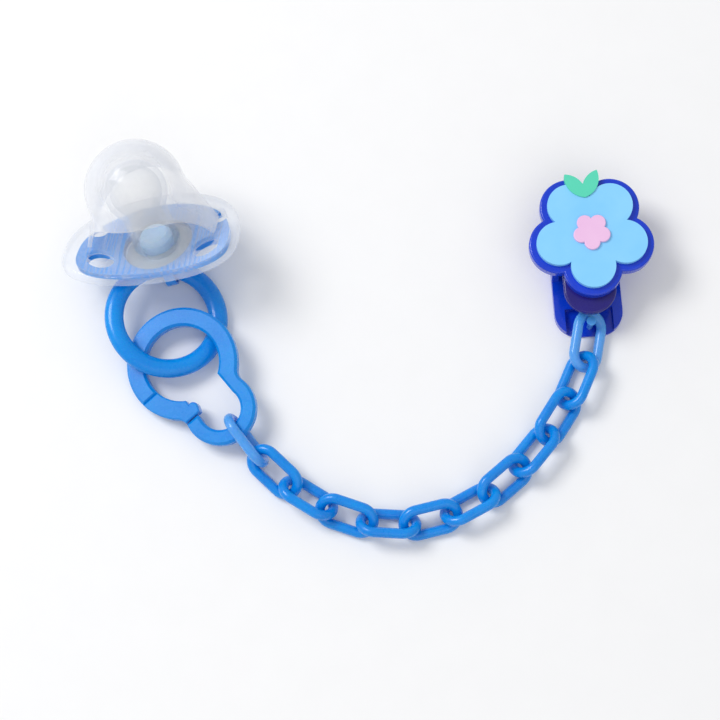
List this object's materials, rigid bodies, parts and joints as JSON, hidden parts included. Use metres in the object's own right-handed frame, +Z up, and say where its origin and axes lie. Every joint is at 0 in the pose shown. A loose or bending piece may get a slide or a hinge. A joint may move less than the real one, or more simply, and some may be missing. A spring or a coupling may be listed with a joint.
{
  "type": "pacifier",
  "caption": "Pacifier with a covered teat and ring handle, joined by a snap clasp and a linked chain to a spring garment clip with a plain flower badge.",
  "frame": {"origin": "middle of the bounding box at the level it lies on", "axes": "+X from the pacifier to the clip, +Y away from the chain, +Z up"},
  "size_m": [0.1398, 0.0901, 0.0372],
  "materials": {
    "clear_shell": "clear glossy plastic",
    "blue_plate": "glossy translucent blue plastic",
    "silicone": "clear soft silicone",
    "white_plastic": "glossy pale plastic",
    "clear_cover": "clear glossy plastic",
    "ring_blue": "glossy blue plastic",
    "link_blue": "glossy translucent blue plastic",
    "link_pale": "glossy pale translucent blue plastic",
    "royal_blue": "glossy royal blue plastic",
    "navy": "glossy navy plastic",
    "steel": "bright steel",
    "pad": "soft dark rubber",
    "petal_blue": "satin light blue plastic",
    "blossom_pink": "satin pink plastic",
    "leaf_green": "satin green plastic"
  },
  "bodies": {
    "pacifier": {"shield_shell": "clear_shell", "shield_plate": "blue_plate", "teat": "silicone", "teat_plug": "white_plastic", "ring_hub": "blue_plate"},
    "cover": {"cover_cap": "clear_cover"},
    "ring": {"ring_handle": "ring_blue"},
    "clasp": {"clasp_frame": "ring_blue"},
    "gate": {"clasp_gate": "ring_blue"},
    "chain_link_01": {"link_01": "link_pale"},
    "chain_link_02": {"link_02": "link_blue"},
    "chain_link_03": {"link_03": "link_blue"},
    "chain_link_04": {"link_04": "link_blue"},
    "chain_link_05": {"link_05": "link_blue"},
    "chain_link_06": {"link_06": "link_blue"},
    "chain_link_07": {"link_07": "link_blue"},
    "chain_link_08": {"link_08": "link_blue"},
    "chain_link_09": {"link_09": "link_blue"},
    "chain_link_10": {"link_10": "link_blue"},
    "chain_link_11": {"link_11": "link_blue"},
    "chain_link_12": {"link_12": "link_pale"},
    "clip": {"clip_back": "royal_blue", "back_pad": "pad", "hinge_pin": "steel", "torsion_spring": "steel", "chain_post": "link_pale"},
    "lever": {"clip_lever": "navy", "lever_pad": "pad", "badge_base": "royal_blue", "badge_petals": "petal_blue", "badge_blossom": "blossom_pink", "badge_leaf": "leaf_green"}
  },
  "joints": [
    {"name": "cover_pull", "type": "slide", "parent": "pacifier", "child": "cover", "axis": [-0.2589, 0.4973, 0.8281], "range_m": [0, 0.03]},
    {"name": "ring_swing", "type": "hinge", "parent": "pacifier", "child": "ring", "pos_m": [-0.04546, 0.02084, 0.00436], "axis": [0.9783, -0.0342, -0.2044], "range_deg": [-5, 75]},
    {"name": "clasp_travel", "type": "hinge", "parent": "ring", "child": "clasp", "pos_m": [-0.0458, 0.0084, 0.0048], "axis": [0.2054, 0.0293, 0.9782], "range_deg": [-60, 50]},
    {"name": "gate_flex", "type": "hinge", "parent": "clasp", "child": "gate", "pos_m": [-0.04718, -0.00971, 0.00259], "axis": [-0.1855, -0.1094, 0.9765], "range_deg": [0, 18], "stiffness_Nm_per_rad": 0.02},
    {"name": "link_01_swivel", "type": "hinge", "parent": "clasp", "child": "chain_link_01", "pos_m": [-0.03256, -0.01392, 0.00489], "axis": [-0.1855, -0.1094, 0.9765], "range_deg": [-30, 30]},
    {"name": "link_02_swing", "type": "hinge", "parent": "chain_link_01", "child": "chain_link_02", "pos_m": [-0.02258, -0.02644, 0.00391], "axis": [-0.1806, -0.2977, 0.9374], "range_deg": [-35, 35]},
    {"name": "link_03_swing", "type": "hinge", "parent": "chain_link_02", "child": "chain_link_03", "pos_m": [-0.01511, -0.03308, 0.0031], "axis": [-0.5767, -0.5397, -0.6133], "range_deg": [-35, 35]},
    {"name": "link_04_swing", "type": "hinge", "parent": "chain_link_03", "child": "chain_link_04", "pos_m": [-0.00645, -0.03815, 0.00323], "axis": [0.4176, 0.6683, -0.6157], "range_deg": [-35, 35]},
    {"name": "link_05_swing", "type": "hinge", "parent": "chain_link_04", "child": "chain_link_05", "pos_m": [0.00315, -0.0411, 0.00323], "axis": [0.2566, 0.7451, 0.6157], "range_deg": [-35, 35]},
    {"name": "link_06_swing", "type": "hinge", "parent": "chain_link_05", "child": "chain_link_06", "pos_m": [0.01321, -0.04122, 0.00323], "axis": [-0.0412, -0.7869, 0.6157], "range_deg": [-35, 35]},
    {"name": "link_07_swing", "type": "hinge", "parent": "chain_link_06", "child": "chain_link_07", "pos_m": [0.02288, -0.03836, 0.00323], "axis": [0.1906, -0.7646, -0.6157], "range_deg": [-35, 35]},
    {"name": "link_08_swing", "type": "hinge", "parent": "chain_link_07", "child": "chain_link_08", "pos_m": [0.03148, -0.03314, 0.00323], "axis": [-0.382, 0.6892, -0.6157], "range_deg": [-35, 35]},
    {"name": "link_09_swing", "type": "hinge", "parent": "chain_link_08", "child": "chain_link_09", "pos_m": [0.03885, -0.02633, 0.00323], "axis": [-0.517, 0.5947, 0.6157], "range_deg": [-35, 35]},
    {"name": "link_10_swing", "type": "hinge", "parent": "chain_link_09", "child": "chain_link_10", "pos_m": [0.04495, -0.01837, 0.00323], "axis": [0.6124, -0.4959, 0.6157], "range_deg": [-35, 35]},
    {"name": "link_11_swing", "type": "hinge", "parent": "chain_link_10", "child": "chain_link_11", "pos_m": [0.0501, -0.00979, 0.00323], "axis": [0.6683, -0.4176, -0.6157], "range_deg": [-35, 35]},
    {"name": "link_12_swing", "type": "hinge", "parent": "chain_link_11", "child": "chain_link_12", "pos_m": [0.0538, -0.00047, 0.00323], "axis": [-0.7254, 0.3079, -0.6157], "range_deg": [-35, 25]},
    {"name": "clip_swivel", "type": "hinge", "parent": "chain_link_12", "child": "clip", "pos_m": [0.05484, 0.00739, 0.003], "axis": [0, 0, 1], "range_deg": [-30, 30]},
    {"name": "lever_press", "type": "hinge", "parent": "clip", "child": "lever", "pos_m": [0.05378, 0.02265, 0.0056], "axis": [0.9976, 0.0698, 0], "range_deg": [0, 9], "stiffness_Nm_per_rad": 0.15, "springref_deg": -11.46, "deforming": ["torsion_spring"]}
  ]
}
